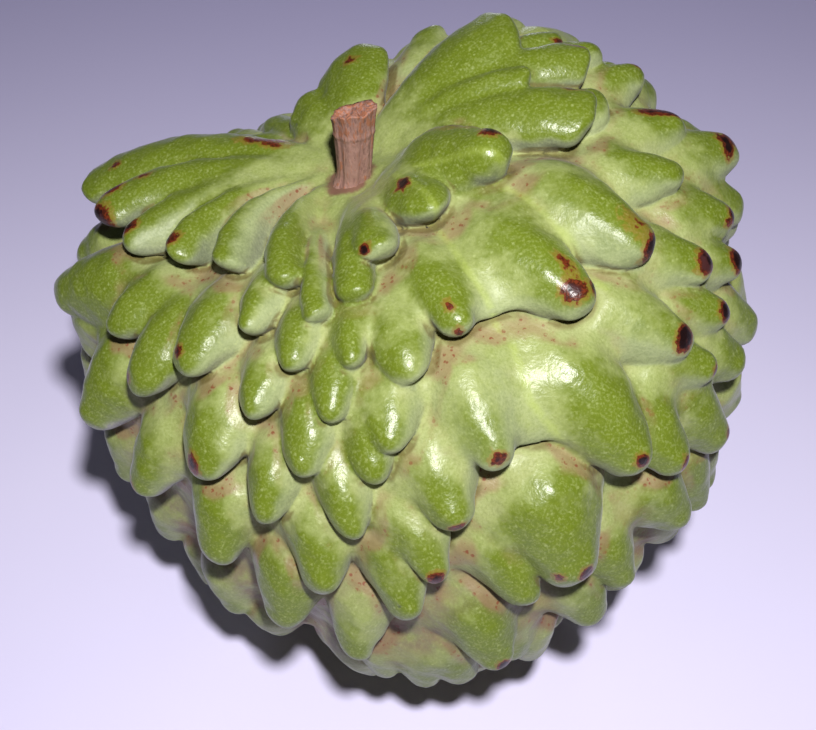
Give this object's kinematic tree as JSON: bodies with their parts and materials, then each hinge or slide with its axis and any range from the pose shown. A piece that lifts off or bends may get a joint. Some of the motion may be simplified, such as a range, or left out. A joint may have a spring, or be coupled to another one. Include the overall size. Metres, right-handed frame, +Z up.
{
  "type": "atemoya",
  "caption": "Lopsided heart-shaped green atemoya covered in soft, overlapping, finger-like scales, with a short torn stalk stub in the hollow at its top, resting on its blossom end.",
  "frame": {"origin": "on the small flat spot under the fruit that it rests on, below the middle of the fruit", "axes": "+Z up; -Y towards the front, the side of the small narrow scales; the stalk end leans to -X"},
  "size_m": [0.1094, 0.1082, 0.1002],
  "materials": {
    "skin": "glossy green skin with a pale grey bloom in the recesses and small dark scars at the tips",
    "bark": "dull, fibrous, pinkish brown"
  },
  "bodies": {
    "root": {"fruit": "skin", "stalk": "bark"}
  },
  "joints": []
}
